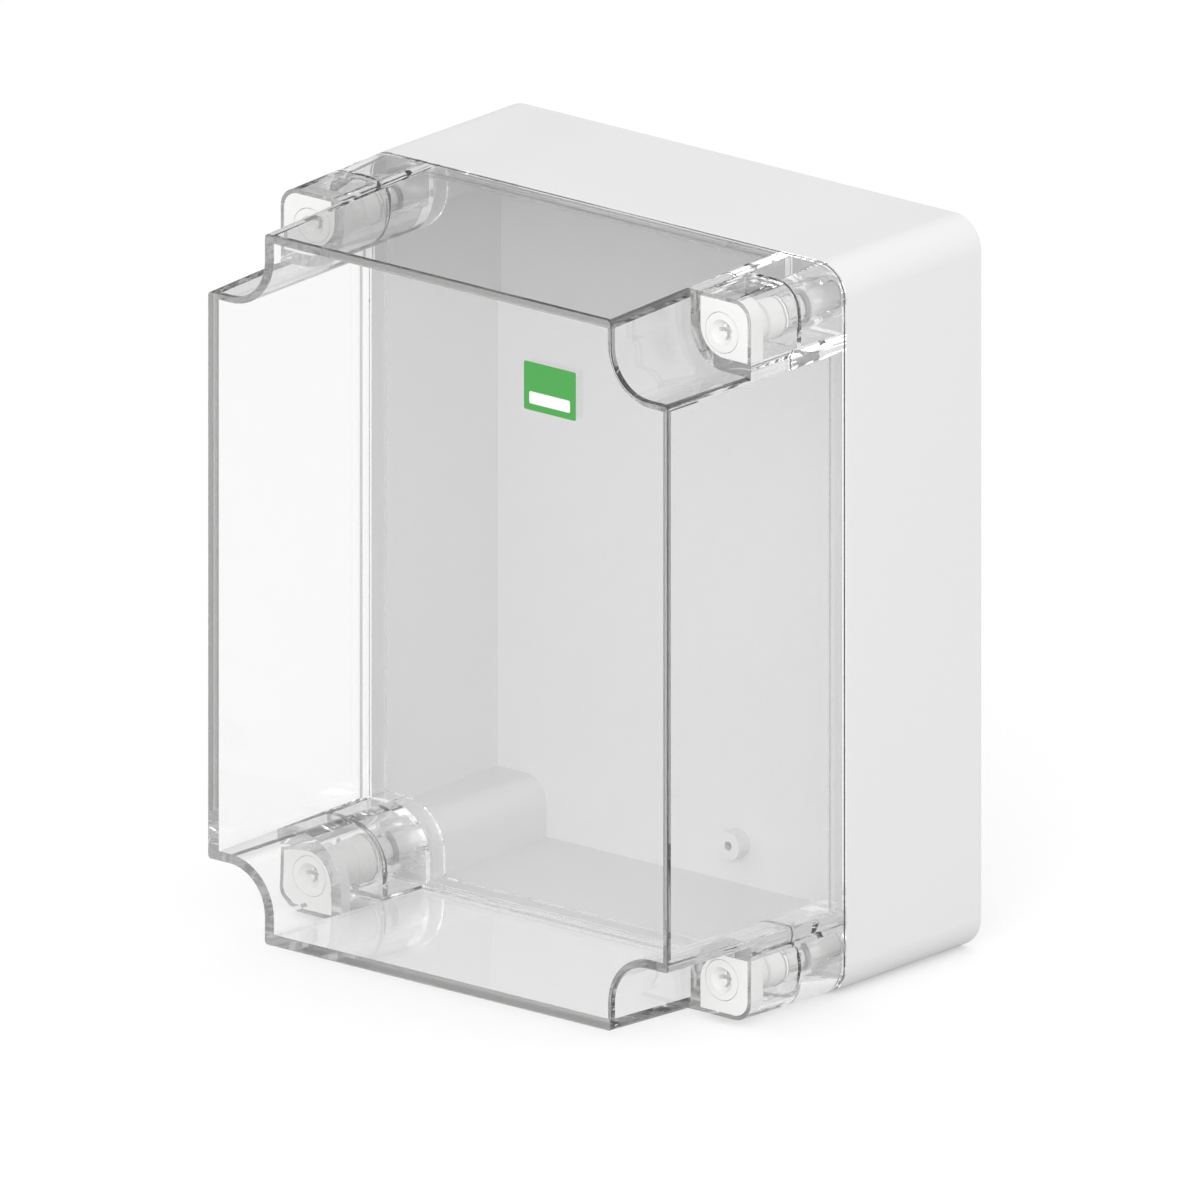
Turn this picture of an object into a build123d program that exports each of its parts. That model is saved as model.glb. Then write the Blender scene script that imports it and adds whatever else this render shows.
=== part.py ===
"""Wall-mounted junction box: an opaque moulded base and a deep clear lid held by four captive screws.

Millimetres, +Z up, +X to the right of someone facing the box. The origin is the centre of the flat back
face that goes against the wall, and the lid faces -Y. Depths are counted from the wall towards the lid.
"""

from build123d import *
from math import radians, tan
import os

# Overall sizes
BOX_WIDTH = 196.5
BOX_HEIGHT = 240.0
BASE_DEPTH = 66.0
LID_DEPTH = 82.0
WALL = 3.0
BACK_WALL = 3.0
LID_WALL = 3.4
NOTCH_WALL = 2.6

# Corner and edge roundings
CORNER_RADIUS = 10.5
BACK_EDGE_RADIUS = 0.5
FRONT_CORNER_RADIUS = 3.0
NOTCH_EDGE_RADIUS = 1.3
FRONT_EDGE_RADIUS = 0.5

# How much the lid narrows on each side towards its front
LID_DRAFT_X = 4.4
LID_DRAFT_Z = 3.4

# Screw axes, from the outer faces of the base
SCREW_INSET_X = 14.25
SCREW_INSET_Z = 13.75

# Screw towers in the corners of the lid, from the base to the floors of its notches
TOWER_HEIGHT = 43.8
NOTCH_RADIUS = 13.8
NOTCH_DRAFT_DEG = 0.9
SOCKET_DEPTH = 22.5
SOCKET_ROOM_X = 1.7
SOCKET_ROOM_Z = 1.2
SOCKET_OUTER_WALL = 1.35
SOCKET_SIDE_WALL = 4.0
SOCKET_LEDGE_WALL = 4.4
SOCKET_OUTER_RADIUS = 5.5
SHELF = 2.5
TUBE_WALL = 1.6
TUBE_REACH = 6.5

# The lip of the lid that enters the base
LIP = 1.6
LIP_REACH = 6.4
LIP_ROOT = 5.2
LIP_CLEARANCE = 0.3

# Seal groove in the rim of the base, and how far the seal holds the lid off the rim
GROOVE_WIDTH = 1.4
GROOVE_DEPTH = 1.6
RIM_GAP = 0.1

# Columns and rail bosses inside the base
COLUMN_WALL = 4.2
COLUMN_BORE_DEPTH = 34.0
BOSS_DIAMETER = 9.0
BOSS_HEIGHT = 5.4
BOSS_INSET = 16.5
BOSS_HOLE_DIAMETER = 2.9
BOSS_HOLE_DEPTH = 6.4

# Blind holes in the back face for the screws of wall brackets
BRACKET_HOLE_DIAMETER = 4.2
BRACKET_HOLE_DEPTH = 14.0

# Captive closing screws
HEAD_DIAMETER = 13.2
COLLAR_STEP = 0.4
COLLAR_LENGTH = 6.8
NECK_STEP = 0.7
NECK_LENGTH = 1.0
SHANK_DIAMETER = 8.0
THREAD_DEPTH = 0.9
THREAD_PITCH = 2.0
THREAD_LENGTH = 22.0
THREAD_SINK = 0.2
THREAD_CREST = 0.7
THREAD_ROOT = 1.8
SCREW_TRAVEL = 8.0
RECESS_DIAMETER = 8.4
RECESS_FLOOR_DIAMETER = 4.4
RECESS_DEPTH = 3.4
CROSS_SPAN = 5.8
CROSS_WIDTH = 1.4
CROSS_TOP = 1.6
CROSS_DEPTH = 5.6

# Guide plates round the screw heads, seals under the collars, rings that keep the screws in the lid
GUIDE_THICKNESS = 6.6
SEAL_THICKNESS = 1.6
SEAL_SEAT = 1.2
RING_THICKNESS = 1.2
RING_GROOVE_DEPTH = 0.8
RING_PROUD = 1.2
RING_GAP = 3.0

# Clearances
RING_CLEARANCE = 0.1
RUNNING = 0.15
SEATED = 0.05
AXIAL = 0.2
BORE_CLEARANCE = 0.3

# Plain marking label on the front of the lid
LABEL_WIDTH = 21.0
LABEL_HEIGHT = 15.8
LABEL_THICKNESS = 0.25
LABEL_RADIUS = 0.6
LABEL_FROM_RIGHT = 47.9
LABEL_FROM_TOP = 27.8

# Depths that follow from the sizes above
SPLIT = BASE_DEPTH
FRONT = SPLIT + LID_DEPTH
MOUTH = SPLIT + TOWER_HEIGHT
SHELF_FRONT = MOUTH - SOCKET_DEPTH
SHELF_BACK = SHELF_FRONT - SHELF
SEAL_BACK = SHELF_FRONT - SEAL_SEAT
LID_BACK = SPLIT + RIM_GAP
TUBE_BACK = SPLIT - TUBE_REACH
COLUMN_FRONT = TUBE_BACK - SEATED
COLLAR_BACK = SEAL_BACK + SEAL_THICKNESS + SEATED
COLLAR_FRONT = COLLAR_BACK + COLLAR_LENGTH
RING_FRONT = SHELF_BACK - SCREW_TRAVEL - AXIAL
RING_BACK = RING_FRONT - RING_THICKNESS
BOSS_TOP = BACK_WALL + BOSS_HEIGHT

# Diameters that follow from the sizes above
COLLAR_DIAMETER = HEAD_DIAMETER + 2 * COLLAR_STEP
NECK_DIAMETER = HEAD_DIAMETER - 2 * NECK_STEP
SEAL_DIAMETER = COLLAR_DIAMETER + COLLAR_STEP
CORE_DIAMETER = SHANK_DIAMETER - 2 * THREAD_DEPTH
THREAD_BORE_DIAMETER = SHANK_DIAMETER + 2 * BORE_CLEARANCE
SHANK_HOLE_DIAMETER = SHANK_DIAMETER + 2 * RUNNING
RING_GROOVE_DIAMETER = SHANK_DIAMETER - 2 * RING_GROOVE_DEPTH
RING_BORE_DIAMETER = RING_GROOVE_DIAMETER + 2 * RING_CLEARANCE
RING_DIAMETER = SHANK_DIAMETER + 2 * RING_PROUD
TUBE_BORE_DIAMETER = RING_DIAMETER + 2 * BORE_CLEARANCE
TUBE_DIAMETER = TUBE_BORE_DIAMETER + 2 * TUBE_WALL
COLUMN_RADIUS = THREAD_BORE_DIAMETER / 2 + COLUMN_WALL

# Half sizes and places that several pieces share
HALF_X = BOX_WIDTH / 2
HALF_Z = BOX_HEIGHT / 2
SCREW_X = HALF_X - SCREW_INSET_X
SCREW_Z = HALF_Z - SCREW_INSET_Z
SOCKET_X = SCREW_X - COLLAR_DIAMETER / 2 - SOCKET_ROOM_X
SOCKET_Z = SCREW_Z - COLLAR_DIAMETER / 2 - SOCKET_ROOM_Z
SOCKET_INNER_RADIUS = NOTCH_RADIUS - SOCKET_SIDE_WALL
NOTCH_SLOPE = tan(radians(NOTCH_DRAFT_DEG))

# Further out than any corner, for cuts that run off the edge of a piece
BEYOND = BOX_WIDTH / 4

CORNERS = {
    "top_left": (-1, 1),
    "top_right": (1, 1),
    "bottom_left": (-1, -1),
    "bottom_right": (1, -1),
}


def at_depth(depth):
    """The plane parallel to the wall at this depth: its x is +X, its y is +Z and its normal is -Y."""
    return Plane.XZ.offset(depth)


def between(sketch, start, end, taper=0.0):
    """The sketch, drawn in X and Z, as a prism from one depth to another."""
    return extrude(at_depth(start) * sketch, end - start, taper=taper)


def outer_half(depth):
    """Half width and half height of the outside of the lid at this depth."""
    share = (depth - SPLIT) / LID_DEPTH
    return HALF_X - LID_DRAFT_X * share, HALF_Z - LID_DRAFT_Z * share


def notch_corner(depth):
    """Where the two walls of a corner notch would meet at this depth, carried on behind the notch."""
    ahead = (MOUTH - depth) * NOTCH_SLOPE
    return SOCKET_X - SOCKET_SIDE_WALL + ahead, SOCKET_Z - SOCKET_LEDGE_WALL + ahead


def at_corner(sketch, sign_x, sign_z):
    """The sketch, drawn for the top right corner, mirrored to the corner with these signs."""
    if sign_x < 0:
        sketch = mirror(sketch, about=Plane.YZ)
    if sign_z < 0:
        sketch = mirror(sketch, about=Plane.XZ)
    return sketch


def corner_square(low, high, inner_radius, outer_radius=0.0):
    """A rectangle from its corner nearest the middle of the box to its outermost one, both rounded."""
    width = high[0] - low[0]
    height = high[1] - low[1]
    square = Pos(low[0] + width / 2, low[1] + height / 2) * Rectangle(width, height)
    if outer_radius:
        square = fillet(square.vertices().sort_by(lambda v: v.X + v.Y)[-1], outer_radius)
    return fillet(square.vertices().sort_by(lambda v: v.X + v.Y)[0], inner_radius)


def corner_patch(inner, radius):
    """Everything beyond the point that is nearest the middle of the box, that corner rounded."""
    return corner_square(inner, (inner[0] + BEYOND, inner[1] + BEYOND), radius)


def disc(diameter, sign_x, sign_z):
    """A circle round the axis of one screw."""
    return Pos(sign_x * SCREW_X, sign_z * SCREW_Z) * Circle(diameter / 2)


def ring(outer, inner, sign_x, sign_z):
    """A ring round the axis of one screw."""
    return disc(outer, sign_x, sign_z) - disc(inner, sign_x, sign_z)


def tapered_block(back, front, back_radius, front_radius, inset=0.0):
    """A block that follows the outside of the lid, inset all round, between two depths."""
    faces = []
    for depth, radius in ((back, back_radius), (front, front_radius)):
        half_x, half_z = outer_half(depth)
        face = RectangleRounded(2 * (half_x - inset), 2 * (half_z - inset), radius)
        faces.append(at_depth(depth) * face)
    return loft(faces, ruled=True)


def seal_track(width):
    """A band of this width, midway across the rim of the base."""
    outer = (WALL - width) / 2
    inner = (WALL + width) / 2
    outside = RectangleRounded(BOX_WIDTH - 2 * outer, BOX_HEIGHT - 2 * outer, CORNER_RADIUS - outer)
    inside = RectangleRounded(BOX_WIDTH - 2 * inner, BOX_HEIGHT - 2 * inner, CORNER_RADIUS - inner)
    return outside - inside


def column_outline(sign_x, sign_z):
    """A corner column of the base, from the middle of its walls to round the screw."""
    low = (SCREW_X - COLUMN_RADIUS, SCREW_Z - COLUMN_RADIUS)
    high = (HALF_X - WALL / 2, HALF_Z - WALL / 2)
    outline = corner_square(low, high, COLUMN_RADIUS - BORE_CLEARANCE, CORNER_RADIUS - WALL)
    return at_corner(outline, sign_x, sign_z)


def socket_outline(sign_x, sign_z, clearance=0.0):
    """A screw socket: square, with a small outer corner and an inner one that follows the notch."""
    mouth_x, mouth_z = outer_half(MOUTH)
    low = (SOCKET_X + clearance, SOCKET_Z + clearance)
    high = (mouth_x - SOCKET_OUTER_WALL - clearance, mouth_z - SOCKET_OUTER_WALL - clearance)
    outline = corner_square(low, high, SOCKET_INNER_RADIUS, SOCKET_OUTER_RADIUS)
    return at_corner(outline, sign_x, sign_z)


def tower_inside(depth):
    """Where the faces of a tower that look into the lid would meet at this depth."""
    corner_x, corner_z = notch_corner(depth)
    return corner_x - NOTCH_WALL, corner_z - NOTCH_WALL


def lid_lip():
    """The lip that enters the base: along the walls, and clear of the columns at the corners."""
    outer_x = HALF_X - WALL - LIP_CLEARANCE
    outer_z = HALF_Z - WALL - LIP_CLEARANCE
    inner = tower_inside(SPLIT)
    outer = (inner[0] + LIP, inner[1] + LIP)
    outside = Rectangle(2 * outer_x, 2 * outer_z)
    inside = Rectangle(2 * (outer_x - LIP), 2 * (outer_z - LIP))
    for signs in CORNERS.values():
        outside -= at_corner(corner_patch(outer, NOTCH_RADIUS + NOTCH_WALL - LIP), *signs)
        inside -= at_corner(corner_patch(inner, NOTCH_RADIUS + NOTCH_WALL), *signs)
    return between(outside - inside, SPLIT - LIP_REACH, SPLIT + LIP_ROOT)


def notch_rims(body):
    """The edges along which the notches meet the outside of the lid, from their floors to its front."""
    front_x, front_z = outer_half(FRONT)
    rims = []
    for edge in body.edges():
        box = edge.bounding_box()
        middle = edge.center()
        ahead = box.max.Y < SEATED - MOUTH and box.size.Y > (FRONT - MOUTH) / 2
        if ahead and (abs(middle.X) > front_x or abs(middle.Z) > front_z):
            rims.append(edge)
    return rims


def base_housing():
    """The opaque base: a tray with four corner columns, two rail bosses and a seal groove in its rim."""
    body = between(RectangleRounded(BOX_WIDTH, BOX_HEIGHT, CORNER_RADIUS), 0, SPLIT)
    body = fillet(body.faces().sort_by(Axis.Y)[-1].edges(), BACK_EDGE_RADIUS)
    inside = RectangleRounded(BOX_WIDTH - 2 * WALL, BOX_HEIGHT - 2 * WALL, CORNER_RADIUS - WALL)
    body -= between(inside, BACK_WALL, SPLIT)
    for signs in CORNERS.values():
        body += between(column_outline(*signs), BACK_WALL / 2, COLUMN_FRONT)
        body -= between(disc(THREAD_BORE_DIAMETER, *signs), COLUMN_FRONT - COLUMN_BORE_DEPTH, COLUMN_FRONT)
        body -= between(disc(BRACKET_HOLE_DIAMETER, *signs), 0, BRACKET_HOLE_DEPTH)
    for side in (-1, 1):
        place = Pos(0, side * (HALF_Z - BOSS_INSET))
        body += between(place * Circle(BOSS_DIAMETER / 2), BACK_WALL / 2, BOSS_TOP)
        body -= between(place * Circle(BOSS_HOLE_DIAMETER / 2), BOSS_TOP - BOSS_HOLE_DEPTH, BOSS_TOP)
    body -= between(seal_track(GROOVE_WIDTH), SPLIT - GROOVE_DEPTH, SPLIT)
    return body


def lid_shell():
    """The drafted cover, notched at its front corners, with its hollow and the lip that enters the base."""
    body = tapered_block(LID_BACK, FRONT, CORNER_RADIUS, FRONT_CORNER_RADIUS)
    for signs in CORNERS.values():
        notch = at_corner(corner_patch(notch_corner(MOUTH), NOTCH_RADIUS), *signs)
        body -= between(notch, MOUTH, FRONT + LID_WALL, taper=-NOTCH_DRAFT_DEG)
    body = fillet(notch_rims(body), NOTCH_EDGE_RADIUS)
    body = fillet(body.faces().sort_by(Axis.Y)[0].edges(), FRONT_EDGE_RADIUS)
    hollow = tapered_block(
        SPLIT, FRONT - LID_WALL, CORNER_RADIUS - LID_WALL, FRONT_CORNER_RADIUS, inset=LID_WALL
    )
    block = corner_patch(tower_inside(SPLIT), NOTCH_RADIUS + NOTCH_WALL)
    for signs in CORNERS.values():
        hollow -= between(at_corner(block, *signs), SPLIT, FRONT + LID_WALL, taper=-NOTCH_DRAFT_DEG)
    body -= hollow
    return body + lid_lip()


def clear_lid():
    """The clear lid, with a socket, a shelf and a tube for a screw in each of its four towers."""
    body = lid_shell()
    bay_radius = CORNER_RADIUS - LID_WALL
    behind_shelf = tapered_block(SPLIT, SHELF_BACK, bay_radius, bay_radius, inset=LID_WALL)
    rear = corner_patch((SOCKET_X, SOCKET_Z), SOCKET_INNER_RADIUS)
    for signs in CORNERS.values():
        body -= between(socket_outline(*signs), SHELF_FRONT, MOUTH)
        body -= behind_shelf & between(at_corner(rear, *signs), SPLIT, SHELF_BACK)
        body += between(ring(TUBE_DIAMETER, TUBE_BORE_DIAMETER, *signs), TUBE_BACK, SHELF_BACK)
        body -= between(disc(SHANK_HOLE_DIAMETER, *signs), SHELF_BACK, SHELF_FRONT)
        body -= between(disc(SEAL_DIAMETER + 2 * SEATED, *signs), SEAL_BACK, SHELF_FRONT)
    return body


def lid_gasket():
    """The soft seal that fills the groove in the rim of the base and meets the lid."""
    return between(seal_track(GROOVE_WIDTH - 2 * SEATED), SPLIT - GROOVE_DEPTH, LID_BACK)


def turned(points, sign_x, sign_z):
    """A solid turned about the axis of one screw, from points given as radius and depth."""
    profile = Polyline(*((radius, -depth) for radius, depth in points), close=True)
    return Pos(sign_x * SCREW_X, 0, sign_z * SCREW_Z) * revolve(make_face(profile), Axis.Y)


def thread_crest(middle, sign_x, sign_z):
    """One turn of the coarse thread, as a ring with sloping flanks."""
    inner = CORE_DIAMETER / 2 - THREAD_SINK
    outer = SHANK_DIAMETER / 2
    points = (
        (inner, middle - THREAD_ROOT / 2),
        (outer, middle - THREAD_CREST / 2),
        (outer, middle + THREAD_CREST / 2),
        (inner, middle + THREAD_ROOT / 2),
    )
    return turned(points, sign_x, sign_z)


def driver_recess(sign_x, sign_z):
    """The dished recess in a screw head, with a cross for the screwdriver in its slope."""
    floor = MOUTH - RECESS_DEPTH
    points = ((0, floor), (RECESS_FLOOR_DIAMETER / 2, floor), (RECESS_DIAMETER / 2, MOUTH), (0, MOUTH))
    cross = Rectangle(CROSS_SPAN, CROSS_WIDTH) + Rectangle(CROSS_WIDTH, CROSS_SPAN)
    cross = Pos(sign_x * SCREW_X, sign_z * SCREW_Z) * cross
    return turned(points, sign_x, sign_z) + between(cross, MOUTH - CROSS_DEPTH, MOUTH - CROSS_TOP)


def closing_screw(sign_x, sign_z):
    """A captive screw: long head with a cross recess, collar on the seal, shank and coarse thread."""
    signs = (sign_x, sign_z)
    body = between(disc(HEAD_DIAMETER, *signs), COLLAR_FRONT + NECK_LENGTH, MOUTH)
    body += between(disc(NECK_DIAMETER, *signs), COLLAR_FRONT, COLLAR_FRONT + NECK_LENGTH)
    body += between(disc(COLLAR_DIAMETER, *signs), COLLAR_BACK, COLLAR_FRONT)
    body += between(disc(SHANK_DIAMETER, *signs), COLUMN_FRONT, COLLAR_BACK)
    tip = COLUMN_FRONT - THREAD_LENGTH
    body += between(disc(CORE_DIAMETER, *signs), tip, COLUMN_FRONT)
    first_turn = tip + THREAD_PITCH / 2
    for turn in range(int(THREAD_LENGTH / THREAD_PITCH)):
        body += thread_crest(first_turn + turn * THREAD_PITCH, *signs)
    groove = ring(COLLAR_DIAMETER, RING_GROOVE_DIAMETER, *signs)
    body -= between(groove, RING_BACK - AXIAL, RING_FRONT + AXIAL)
    return body - driver_recess(*signs)


def screw_guide(sign_x, sign_z):
    """The plate that fills the mouth of a tower and guides the screw head."""
    outline = socket_outline(sign_x, sign_z, SEATED) - disc(HEAD_DIAMETER + 2 * RUNNING, sign_x, sign_z)
    return between(outline, MOUTH - GUIDE_THICKNESS, MOUTH)


def screw_seal(sign_x, sign_z):
    """The silicone ring in the shelf, under the collar of the screw."""
    outline = ring(SEAL_DIAMETER, SHANK_HOLE_DIAMETER, sign_x, sign_z)
    return between(outline, SEAL_BACK, SEAL_BACK + SEAL_THICKNESS)


def retaining_ring(sign_x, sign_z):
    """The split ring in the groove of the shank, which meets the shelf when the screw is undone."""
    outline = ring(RING_DIAMETER, RING_BORE_DIAMETER, sign_x, sign_z)
    gap_z = SCREW_Z - RING_DIAMETER / 2
    outline -= Pos(sign_x * SCREW_X, sign_z * gap_z) * Rectangle(RING_GAP, RING_DIAMETER)
    return between(outline, RING_BACK, RING_FRONT)


def marking_label():
    """A plain stick-on label on the front of the lid, near its top right corner."""
    front_x, front_z = outer_half(FRONT)
    place = Pos(front_x - LABEL_FROM_RIGHT, front_z - LABEL_FROM_TOP)
    outline = place * RectangleRounded(LABEL_WIDTH, LABEL_HEIGHT, LABEL_RADIUS)
    return between(outline, FRONT, FRONT + LABEL_THICKNESS)


def write(name, shape):
    shape.label = name
    export_step(shape, f"parts/{name}.step")


def main():
    os.makedirs("parts", exist_ok=True)
    write("base_housing", base_housing())
    write("clear_lid", clear_lid())
    write("lid_gasket", lid_gasket())
    write("marking_label", marking_label())
    for corner, signs in CORNERS.items():
        write(f"closing_screw_{corner}", closing_screw(*signs))
        write(f"screw_guide_{corner}", screw_guide(*signs))
        write(f"screw_seal_{corner}", screw_seal(*signs))
        write(f"retaining_ring_{corner}", retaining_ring(*signs))


if __name__ == "__main__":
    main()
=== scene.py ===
"""Finishes, label, stage and camera for a wall-mounted junction box with a deep clear lid.

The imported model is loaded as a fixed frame. Its moulded pieces keep their shapes and get their materials
here, and the stick-on label is modelled anew over its plain solid. Metres, +Z up, and the lid faces -Y.
"""

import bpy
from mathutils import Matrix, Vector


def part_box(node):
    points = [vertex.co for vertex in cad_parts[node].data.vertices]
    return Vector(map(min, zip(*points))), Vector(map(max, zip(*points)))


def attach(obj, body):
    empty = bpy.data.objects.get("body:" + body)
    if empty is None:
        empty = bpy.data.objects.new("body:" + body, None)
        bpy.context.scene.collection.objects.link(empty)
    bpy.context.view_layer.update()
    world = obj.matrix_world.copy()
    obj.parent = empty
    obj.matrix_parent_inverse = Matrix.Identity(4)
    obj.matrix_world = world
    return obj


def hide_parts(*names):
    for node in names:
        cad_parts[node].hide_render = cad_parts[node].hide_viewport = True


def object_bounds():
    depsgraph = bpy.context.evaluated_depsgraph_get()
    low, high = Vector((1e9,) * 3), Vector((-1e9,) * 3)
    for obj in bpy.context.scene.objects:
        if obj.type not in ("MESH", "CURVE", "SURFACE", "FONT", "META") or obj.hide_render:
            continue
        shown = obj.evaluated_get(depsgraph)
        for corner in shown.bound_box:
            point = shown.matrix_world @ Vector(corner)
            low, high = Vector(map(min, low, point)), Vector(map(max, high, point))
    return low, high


bl_info = {
    "name": "Clear Lid Junction Box",
    "version": (1, 0, 0),
    "blender": (4, 5, 0),
    "location": "View3D > Sidebar > Junction Box",
    "description": "Finishes for a moulded wall box with a clear lid, with its stage and camera",
    "category": "Object",
}

from math import cos, radians, sin

import bmesh
import bpy
from mathutils import Matrix, Vector

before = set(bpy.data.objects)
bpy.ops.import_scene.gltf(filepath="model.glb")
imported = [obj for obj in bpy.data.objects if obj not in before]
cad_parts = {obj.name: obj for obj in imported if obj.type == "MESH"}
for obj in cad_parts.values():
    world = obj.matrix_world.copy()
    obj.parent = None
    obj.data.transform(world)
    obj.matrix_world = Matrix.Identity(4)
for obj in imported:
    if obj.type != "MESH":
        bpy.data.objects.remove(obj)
CAD_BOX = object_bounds()
CAD_CENTRE = (CAD_BOX[0] + CAD_BOX[1]) / 2

MM = 0.001
CORNERS = ("top_left", "top_right", "bottom_left", "bottom_right")
LABEL_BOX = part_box("marking_label")

# Pieces of arc in each rounded corner of the label
CORNER_SEGMENTS = 6

# Soft patches of more and less gloss on the base, 55 mm wide, and streaks on the steel, 1.1 mm wide and so
# coarser than real ones, which wouldn't show: how many there are to a metre
GLOSS_PATCHES = 18.0
STEEL_STREAKS = 900.0


def linear(hex_colour):
    """An sRGB hex colour as the linear colour that shaders use, with an alpha of 1."""
    channels = []
    for start in (1, 3, 5):
        value = int(hex_colour[start:start + 2], 16) / 255
        channels.append(value / 12.92 if value <= 0.04045 else ((value + 0.055) / 1.055) ** 2.4)
    return (*channels, 1.0)


class FinishSettings(bpy.types.PropertyGroup):
    """Colours and textures of the box's materials."""

    housing_colour: bpy.props.StringProperty(
        name="Housing", description="Colour of the moulded base", default="#E8E8E8"
    )
    white_colour: bpy.props.StringProperty(
        name="Screws", description="Colour of the screws and their guide plates", default="#F1F1F0"
    )
    silicone_colour: bpy.props.StringProperty(
        name="Seals", description="Colour of the silicone seals", default="#C4C5C3"
    )
    gasket_colour: bpy.props.StringProperty(
        name="Gasket", description="Colour of the foamed gasket in the rim", default="#D6D7D4"
    )
    steel_colour: bpy.props.StringProperty(
        name="Rings", description="Colour of the retaining rings' steel", default="#B4B5B6"
    )
    label_colour: bpy.props.StringProperty(
        name="Label", description="Colour of the label's film", default="#43A047"
    )
    strip_colour: bpy.props.StringProperty(
        name="Label strip", description="Blank strip to write on", default="#F4F5F2"
    )
    lid_absorption: bpy.props.FloatProperty(
        name="Lid absorption",
        description="Absorption of light in the clear plastic, per metre",
        default=5.4,
        min=0.0,
    )
    texture_grain: bpy.props.FloatProperty(
        name="Mould texture",
        description="Grain of the base's texture, drawn coarser than the real 0.1 mm so that it shows",
        default=1.1 * MM,
        unit="LENGTH",
        subtype="DISTANCE",
    )


class LabelSettings(bpy.types.PropertyGroup):
    """Sizes of the stick-on label that its plain solid doesn't have."""

    lift: bpy.props.FloatProperty(
        name="Lift", description="Adhesive under the film", default=0.03 * MM, unit="LENGTH"
    )
    corner: bpy.props.FloatProperty(
        name="Corner", description="Corner radius", default=0.6 * MM, unit="LENGTH"
    )
    strip_margin: bpy.props.FloatProperty(
        name="Strip margin", description="Film left and right of the blank strip", default=2.2 * MM,
        unit="LENGTH",
    )
    strip_height: bpy.props.FloatProperty(
        name="Strip height", description="Height of the blank strip", default=4.0 * MM, unit="LENGTH"
    )
    ink: bpy.props.FloatProperty(
        name="Ink", description="Thickness of the printed strip", default=0.02 * MM, unit="LENGTH"
    )


class StageSettings(bpy.types.PropertyGroup):
    """The photograph's view and the studio light."""

    azimuth: bpy.props.FloatProperty(
        name="Azimuth", description="Camera angle round the box", default=radians(39.91), subtype="ANGLE"
    )
    elevation: bpy.props.FloatProperty(
        name="Elevation", description="Camera angle above the horizon", default=radians(17.55),
        subtype="ANGLE",
    )
    view_width: bpy.props.FloatProperty(
        name="View width", description="Width that the camera sees", default=0.3755, unit="LENGTH"
    )
    aim_right: bpy.props.FloatProperty(
        name="Aim right", description="Picture centre right of the origin", default=-0.0441, unit="LENGTH"
    )
    aim_up: bpy.props.FloatProperty(
        name="Aim up", description="Picture centre above the origin", default=-0.0240, unit="LENGTH"
    )
    distance: bpy.props.FloatProperty(
        name="Distance", description="Distance of the camera", default=1.2, unit="LENGTH"
    )
    floor_size: bpy.props.FloatProperty(
        name="Floor", description="Side of the floor", default=40.0, unit="LENGTH"
    )
    sky_light: bpy.props.FloatProperty(
        name="Sky light", description="Strength of the even light from all round", default=1.0, min=0.0
    )
    lamp_place: bpy.props.FloatVectorProperty(
        name="Lamp place", description="Centre of the soft box", default=(0.9, -1.5, 0.5), unit="LENGTH",
        subtype="TRANSLATION",
    )
    lamp_size: bpy.props.FloatProperty(
        name="Lamp size", description="Width of the round soft box", default=1.2, unit="LENGTH"
    )
    front_power: bpy.props.FloatProperty(
        name="Front lamp", description="Power of the soft box at the front", default=9.9, min=0.0,
        unit="POWER",
    )
    floor_lift: bpy.props.FloatProperty(
        name="Floor lift", description="Light that lifts the floor to white for the eye", default=0.385,
        min=0.0,
    )
    floor_gap: bpy.props.FloatProperty(
        name="Floor gap", description="Air between the box and the floor", default=0.05 * MM, unit="LENGTH"
    )
    paper_colour: bpy.props.StringProperty(
        name="Paper", description="Colour of the floor's paper", default="#D0D0D0"
    )
    flag_place: bpy.props.FloatVectorProperty(
        name="Flag place", description="Centre of the grey card behind the box", default=(-2.6, 3.1, 1.25),
        unit="LENGTH", subtype="TRANSLATION",
    )
    flag_size: bpy.props.FloatProperty(
        name="Flag size", description="Side of the grey card", default=2.0, unit="LENGTH"
    )
    flag_colour: bpy.props.StringProperty(
        name="Flag", description="Colour of the grey card", default="#B0B0B0"
    )
    mirror_bounces: bpy.props.IntProperty(
        name="Mirror bounces", description="Reflections that light may make inside the lid", default=96, min=0
    )
    clear_bounces: bpy.props.IntProperty(
        name="Clear bounces", description="Clear surfaces that light may pass through", default=32, min=0
    )


def add_node(material, kind, links=None, **settings):
    """Adds a node, sets its inputs and attributes, and links inputs to the sockets given for them."""
    tree = material.node_tree
    node = tree.nodes.new(kind)
    for name, value in settings.items():
        if name in node.inputs:
            node.inputs[name].default_value = value
        elif hasattr(node, name):
            setattr(node, name, value)
        else:
            node.inputs[name.replace("_", " ").title()].default_value = value
    for name, source in (links or {}).items():
        tree.links.new(source, node.inputs[name])
    return node


def new_material(name):
    """An empty material and its output node."""
    material = bpy.data.materials.new(name)
    material.use_nodes = True
    material.node_tree.nodes.clear()
    return material, add_node(material, "ShaderNodeOutputMaterial")


def link_surface(material, output, shader):
    """Shows the shader on the material's surface."""
    material.node_tree.links.new(shader, output.inputs["Surface"])


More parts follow.
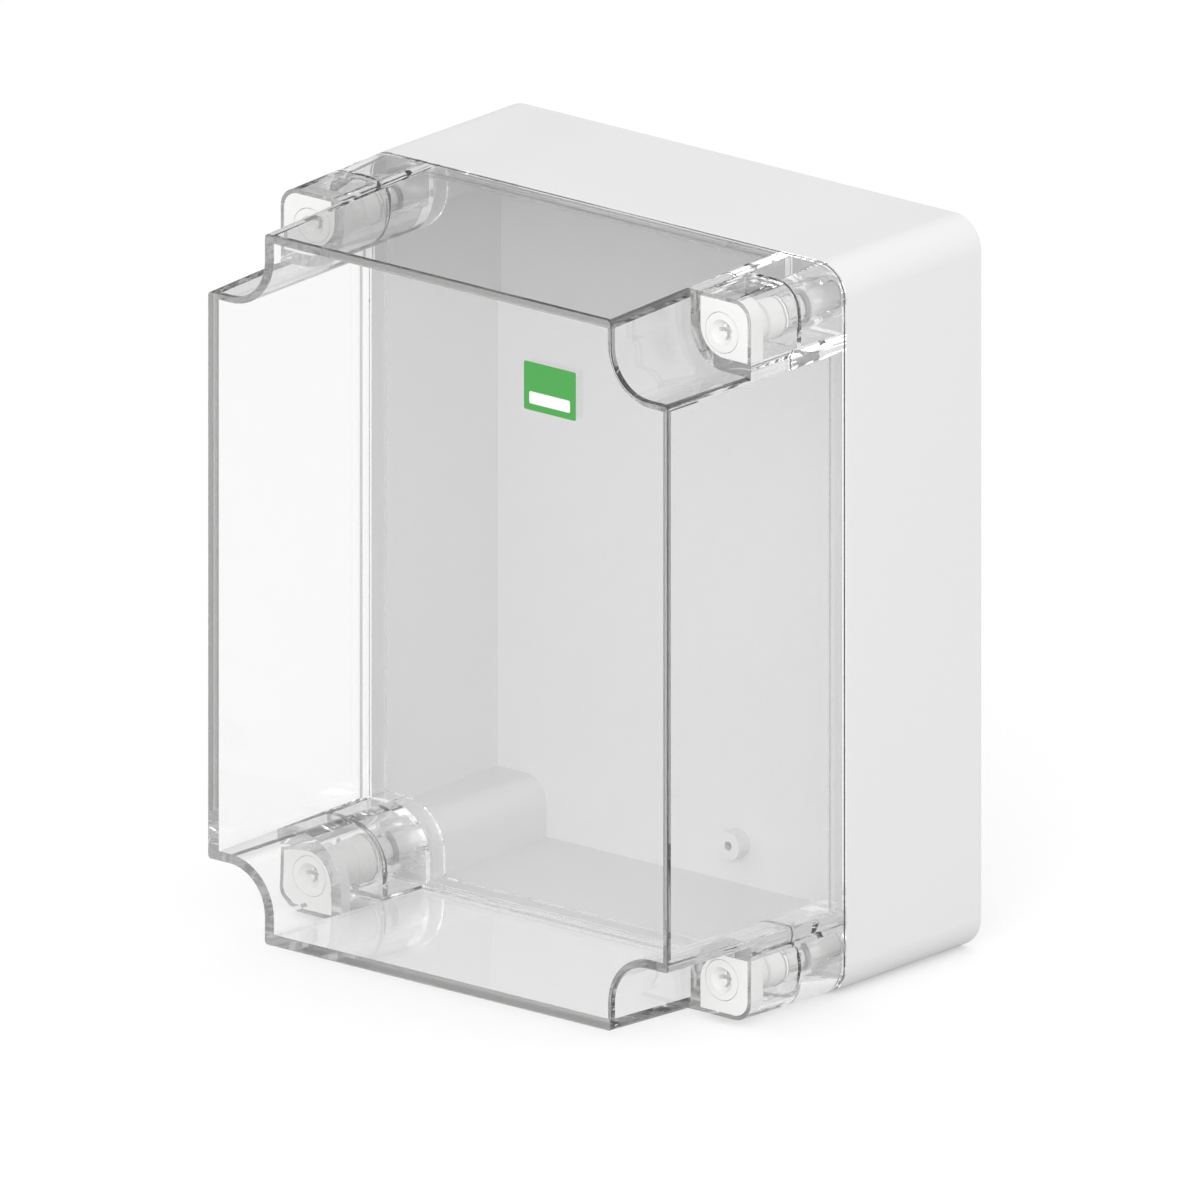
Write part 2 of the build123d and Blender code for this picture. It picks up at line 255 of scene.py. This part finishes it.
def moulded_housing(finish):
    """Polycarbonate blend, moulded in an eroded mould: light grey and satin, with a fine even grain."""
    material, output = new_material("moulded_polycarbonate_grey")
    place = add_node(material, "ShaderNodeTexCoord")
    grain = add_node(
        material, "ShaderNodeTexNoise", {"Vector": place.outputs["Object"]},
        Scale=1 / finish.texture_grain, Detail=3.0, Roughness=0.6,
    )
    flow = add_node(
        material, "ShaderNodeTexNoise", {"Vector": place.outputs["Object"]}, Scale=GLOSS_PATCHES, Detail=2.0,
    )
    gloss = add_node(
        material, "ShaderNodeMapRange", {"Value": flow.outputs["Fac"]},
        **{"From Min": 0.3, "From Max": 0.7, "To Min": 0.40, "To Max": 0.50},
    )
    bump = add_node(
        material, "ShaderNodeBump", {"Height": grain.outputs["Fac"]}, Strength=0.25, Distance=0.04 * MM,
    )
    shader = add_node(
        material, "ShaderNodeBsdfPrincipled",
        {"Roughness": gloss.outputs["Result"], "Normal": bump.outputs["Normal"]},
        **{"Base Color": linear(finish.housing_colour), "IOR": 1.50},
    )
    link_surface(material, output, shader.outputs["BSDF"])
    return material


def clear_polycarbonate(finish):
    """Clear polycarbonate from a polished mould: it bends light and greys it along its thick edges.

    Light of lamps and from matt pieces goes straight through, and each surface keeps back a twentieth of it.
    """
    material, output = new_material("clear_polycarbonate")
    shader = add_node(
        material, "ShaderNodeBsdfPrincipled",
        **{
            "Base Color": linear("#FFFFFF"),
            "Roughness": 0.0,
            "IOR": 1.585,
            "Transmission Weight": 1.0,
        },
    )
    open_way = add_node(material, "ShaderNodeBsdfTransparent", Color=linear("#FAFAFA"))
    path = add_node(material, "ShaderNodeLightPath")
    lamp_or_bounce = add_node(
        material, "ShaderNodeMath",
        {0: path.outputs["Is Shadow Ray"], 1: path.outputs["Is Diffuse Ray"]}, operation="MAXIMUM",
    )
    surface = add_node(
        material, "ShaderNodeMixShader",
        {0: lamp_or_bounce.outputs[0], 1: shader.outputs["BSDF"], 2: open_way.outputs["BSDF"]},
    )
    link_surface(material, output, surface.outputs["Shader"])
    haze = add_node(
        material, "ShaderNodeVolumeAbsorption",
        Color=(0.0, 0.0, 0.0, 1.0), Density=finish.lid_absorption,
    )
    material.node_tree.links.new(haze.outputs["Volume"], output.inputs["Volume"])
    return material


def plain_plastic(name, colour, roughness, grain, depth):
    """An opaque plastic, rubber or ink: one even colour, with a faint grain in its gloss and surface.

    The real grain is under 0.1 mm and wouldn't show, so each piece is given a coarser one.
    """
    material, output = new_material(name)
    place = add_node(material, "ShaderNodeTexCoord")
    noise = add_node(
        material, "ShaderNodeTexNoise", {"Vector": place.outputs["Object"]}, Scale=1 / grain, Detail=2.0,
    )
    gloss = add_node(
        material, "ShaderNodeMapRange", {"Value": noise.outputs["Fac"]},
        **{"To Min": roughness - 0.06, "To Max": roughness + 0.06},
    )
    bump = add_node(
        material, "ShaderNodeBump", {"Height": noise.outputs["Fac"]}, Strength=0.2, Distance=depth
    )
    shader = add_node(
        material, "ShaderNodeBsdfPrincipled",
        {"Roughness": gloss.outputs["Result"], "Normal": bump.outputs["Normal"]},
        **{"Base Color": linear(colour), "IOR": 1.5},
    )
    link_surface(material, output, shader.outputs["BSDF"])
    return material


def spring_steel(finish):
    """Spring steel strip, rolled and hardened: a dull grey metal with fine streaks."""
    material, output = new_material("spring_steel")
    place = add_node(material, "ShaderNodeTexCoord")
    streaks = add_node(
        material, "ShaderNodeTexNoise", {"Vector": place.outputs["Object"]}, Scale=STEEL_STREAKS, Detail=2.0,
    )
    gloss = add_node(
        material, "ShaderNodeMapRange", {"Value": streaks.outputs["Fac"]},
        **{"To Min": 0.28, "To Max": 0.42},
    )
    shader = add_node(
        material, "ShaderNodeBsdfPrincipled", {"Roughness": gloss.outputs["Result"]},
        **{"Base Color": linear(finish.steel_colour), "Metallic": 1.0},
    )
    link_surface(material, output, shader.outputs["BSDF"])
    return material


def dress(node, material):
    """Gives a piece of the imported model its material."""
    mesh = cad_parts[node].data
    mesh.materials.clear()
    mesh.materials.append(material)


class JBOX_OT_housing(bpy.types.Operator):
    """Finish the moulded base and its gasket"""

    bl_idname = "jbox.housing"
    bl_label = "Housing and Gasket"

    def execute(self, context):
        finish = context.scene.jbox_finish
        dress("base_housing", moulded_housing(finish))
        # Foamed polyurethane: soft and matt, with a slightly uneven skin
        foam = plain_plastic(
            "foamed_polyurethane", finish.gasket_colour, roughness=0.8, grain=0.6 * MM, depth=0.05 * MM
        )
        dress("lid_gasket", foam)
        return {"FINISHED"}


class JBOX_OT_lid(bpy.types.Operator):
    """Finish the clear lid"""

    bl_idname = "jbox.lid"
    bl_label = "Clear Lid"

    def execute(self, context):
        dress("clear_lid", clear_polycarbonate(context.scene.jbox_finish))
        return {"FINISHED"}


class JBOX_OT_screws(bpy.types.Operator):
    """Finish the closing screws, guide plates, seals and retaining rings"""

    bl_idname = "jbox.screws"
    bl_label = "Closing Screws"

    def execute(self, context):
        finish = context.scene.jbox_finish
        # Moulded polyamide: white, with a satin sheen
        white = plain_plastic(
            "white_polyamide", finish.white_colour, roughness=0.35, grain=0.9 * MM, depth=0.02 * MM
        )
        # Moulded silicone: light grey and dull
        silicone = plain_plastic(
            "seal_silicone", finish.silicone_colour, roughness=0.7, grain=0.5 * MM, depth=0.04 * MM
        )
        steel = spring_steel(finish)
        for corner in CORNERS:
            dress(f"closing_screw_{corner}", white)
            dress(f"screw_guide_{corner}", white)
            dress(f"screw_seal_{corner}", silicone)
            dress(f"retaining_ring_{corner}", steel)
        return {"FINISHED"}


def thin_plate(context, name, low, high, corner):
    """A flat plate that faces forward, between two opposite corners, with its outline's corners rounded."""
    bpy.ops.object.select_all(action="DESELECT")
    bpy.ops.mesh.primitive_cube_add(size=1, location=(low + high) / 2, scale=high - low)
    plate = context.object
    plate.name = plate.data.name = name
    bpy.ops.object.transform_apply(location=True, rotation=True, scale=True)
    bpy.ops.object.mode_set(mode="EDIT")
    mesh = bmesh.from_edit_mesh(plate.data)
    for edge in mesh.edges:
        along = edge.verts[1].co - edge.verts[0].co
        edge.select_set(abs(along.y) > abs(along.x) + abs(along.z))
    bmesh.update_edit_mesh(plate.data)
    bpy.ops.mesh.bevel(offset=corner, segments=CORNER_SEGMENTS)
    bpy.ops.object.mode_set(mode="OBJECT")
    return plate


class JBOX_OT_label(bpy.types.Operator):
    """Model the stick-on label with its blank strip"""

    bl_idname = "jbox.label"
    bl_label = "Marking Label"

    def execute(self, context):
        finish = context.scene.jbox_finish
        sizes = context.scene.jbox_label
        low, high = LABEL_BOX
        face = low.y + sizes.ink
        label = thin_plate(
            context, "write_on_label", Vector((low.x, face, low.z)),
            Vector((high.x, high.y - sizes.lift, high.z)), sizes.corner,
        )
        # Vinyl film: flat green with a soft shine
        film = plain_plastic(
            "vinyl_film_green", finish.label_colour, roughness=0.4, grain=1.0 * MM, depth=0.01 * MM
        )
        label.data.materials.append(film)
        strip_low = low + Vector((sizes.strip_margin, 0, sizes.strip_margin))
        strip_high = Vector((high.x - sizes.strip_margin, face, strip_low.z + sizes.strip_height))
        strip = thin_plate(context, "label_strip", strip_low, strip_high, sizes.corner)
        # Screen-printed ink: white and matt, to take a pen
        ink = plain_plastic(
            "matt_ink_white", finish.strip_colour, roughness=0.6, grain=0.6 * MM, depth=0.01 * MM
        )
        strip.data.materials.append(ink)
        label.select_set(True)
        context.view_layer.objects.active = label
        bpy.ops.object.join()
        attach(label, "lid")
        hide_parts("marking_label")
        return {"FINISHED"}


class JBOX_OT_stage(bpy.types.Operator):
    """Lay the floor and set up the light and the camera"""

    bl_idname = "jbox.stage"
    bl_label = "Stage"

    def execute(self, context):
        stage = context.scene.jbox_stage
        self.lay_floor(context, stage)
        self.light_world(context, stage)
        self.hang_lamp(context, stage)
        self.stand_flag(context, stage)
        self.place_camera(context, stage)
        context.scene.view_settings.view_transform = "Standard"
        context.scene.cycles.max_bounces = stage.mirror_bounces
        context.scene.cycles.glossy_bounces = stage.mirror_bounces
        context.scene.cycles.transmission_bounces = stage.clear_bounces
        context.scene.cycles.transparent_max_bounces = stage.clear_bounces
        return {"FINISHED"}

    def lay_floor(self, context, stage):
        """A pale floor that meets the white of the backdrop and keeps the box's soft shadow."""
        bpy.ops.object.select_all(action="DESELECT")
        height = CAD_BOX[0].z - stage.floor_gap
        bpy.ops.mesh.primitive_plane_add(size=stage.floor_size, location=(0, 0, height))
        floor = context.object
        floor.name = "studio_floor"
        material, output = new_material("white_studio_paper")
        paper = add_node(material, "ShaderNodeBsdfDiffuse", Color=linear(stage.paper_colour))
        path = add_node(material, "ShaderNodeLightPath")
        seen = add_node(
            material, "ShaderNodeMath",
            {0: path.outputs["Is Camera Ray"], 1: path.outputs["Is Glossy Ray"]}, operation="MAXIMUM",
        )
        seen = add_node(
            material, "ShaderNodeMath", {0: seen.outputs[0], 1: path.outputs["Is Transmission Ray"]},
            operation="MAXIMUM",
        )
        lift = add_node(material, "ShaderNodeMath", {0: seen.outputs[0]}, operation="MULTIPLY")
        lift.inputs[1].default_value = stage.floor_lift
        glow = add_node(material, "ShaderNodeEmission", {"Strength": lift.outputs[0]})
        both = add_node(
            material, "ShaderNodeAddShader", {0: paper.outputs["BSDF"], 1: glow.outputs["Emission"]}
        )
        link_surface(material, output, both.outputs["Shader"])
        floor.data.materials.append(material)

    def light_world(self, context, stage):
        """An even white light from all round."""
        world = bpy.data.worlds.new("studio_white")
        context.scene.world = world
        world.use_nodes = True
        world.node_tree.nodes.clear()
        output = add_node(world, "ShaderNodeOutputWorld")
        sky = add_node(
            world, "ShaderNodeBackground", Color=linear("#FFFFFF"), Strength=stage.sky_light
        )
        world.node_tree.links.new(sky.outputs["Background"], output.inputs["Surface"])

    def hang_lamp(self, context, stage):
        """A large round soft box in front of the lid, to its right."""
        bpy.ops.object.select_all(action="DESELECT")
        bpy.ops.object.light_add(type="AREA", location=stage.lamp_place)
        lamp = context.object
        lamp.name = "soft_box"
        lamp.data.shape = "DISK"
        lamp.data.size = stage.lamp_size
        lamp.data.energy = stage.front_power
        lamp.rotation_euler = (CAD_CENTRE - lamp.location).to_track_quat("-Z", "Y").to_euler()

    def stand_flag(self, context, stage):
        """A grey card far behind the box, out of the picture, that the top of the clear lid reflects."""
        bpy.ops.object.select_all(action="DESELECT")
        bpy.ops.mesh.primitive_plane_add(size=stage.flag_size, location=stage.flag_place)
        flag = context.object
        flag.name = "studio_flag"
        flag.rotation_euler = (CAD_CENTRE - flag.location).to_track_quat("Z", "Y").to_euler()
        material, output = new_material("grey_card")
        card = add_node(material, "ShaderNodeBsdfDiffuse", Color=linear(stage.flag_colour))
        link_surface(material, output, card.outputs["BSDF"])
        flag.data.materials.append(material)

    def place_camera(self, context, stage):
        """A camera without perspective, at the photograph's angle and scale."""
        right = Vector((cos(stage.azimuth), sin(stage.azimuth), 0))
        back = Vector((
            sin(stage.azimuth) * cos(stage.elevation),
            -cos(stage.azimuth) * cos(stage.elevation),
            sin(stage.elevation),
        ))
        up = back.cross(right)
        aim = right * stage.aim_right + up * stage.aim_up
        bpy.ops.object.camera_add(location=aim + back * stage.distance)
        camera = context.object
        camera.name = "photo_camera"
        camera.rotation_euler = Matrix((right, up, back)).transposed().to_euler()
        camera.data.type = "ORTHO"
        camera.data.ortho_scale = stage.view_width
        camera.data.clip_end = stage.floor_size
        context.scene.camera = camera


class JBOX_PT_panel(bpy.types.Panel):
    """Builds the box's looks piece by piece"""

    bl_label = "Junction Box"
    bl_idname = "JBOX_PT_panel"
    bl_space_type = "VIEW_3D"
    bl_region_type = "UI"
    bl_category = "Junction Box"

    def draw(self, context):
        for operator in OPERATORS:
            self.layout.operator(operator.bl_idname)
        for group in (context.scene.jbox_finish, context.scene.jbox_label, context.scene.jbox_stage):
            column = self.layout.column()
            for name in group.__annotations__:
                column.prop(group, name)


OPERATORS = (JBOX_OT_housing, JBOX_OT_lid, JBOX_OT_screws, JBOX_OT_label, JBOX_OT_stage)
CLASSES = (FinishSettings, LabelSettings, StageSettings, *OPERATORS, JBOX_PT_panel)


def register():
    for cls in CLASSES:
        bpy.utils.register_class(cls)
    bpy.types.Scene.jbox_finish = bpy.props.PointerProperty(type=FinishSettings)
    bpy.types.Scene.jbox_label = bpy.props.PointerProperty(type=LabelSettings)
    bpy.types.Scene.jbox_stage = bpy.props.PointerProperty(type=StageSettings)


def unregister():
    del bpy.types.Scene.jbox_stage
    del bpy.types.Scene.jbox_label
    del bpy.types.Scene.jbox_finish
    for cls in reversed(CLASSES):
        bpy.utils.unregister_class(cls)


def main():
    register()
    bpy.ops.jbox.stage()
    bpy.ops.jbox.housing()
    bpy.ops.jbox.lid()
    bpy.ops.jbox.screws()
    bpy.ops.jbox.label()


if __name__ == "__main__":
    main()
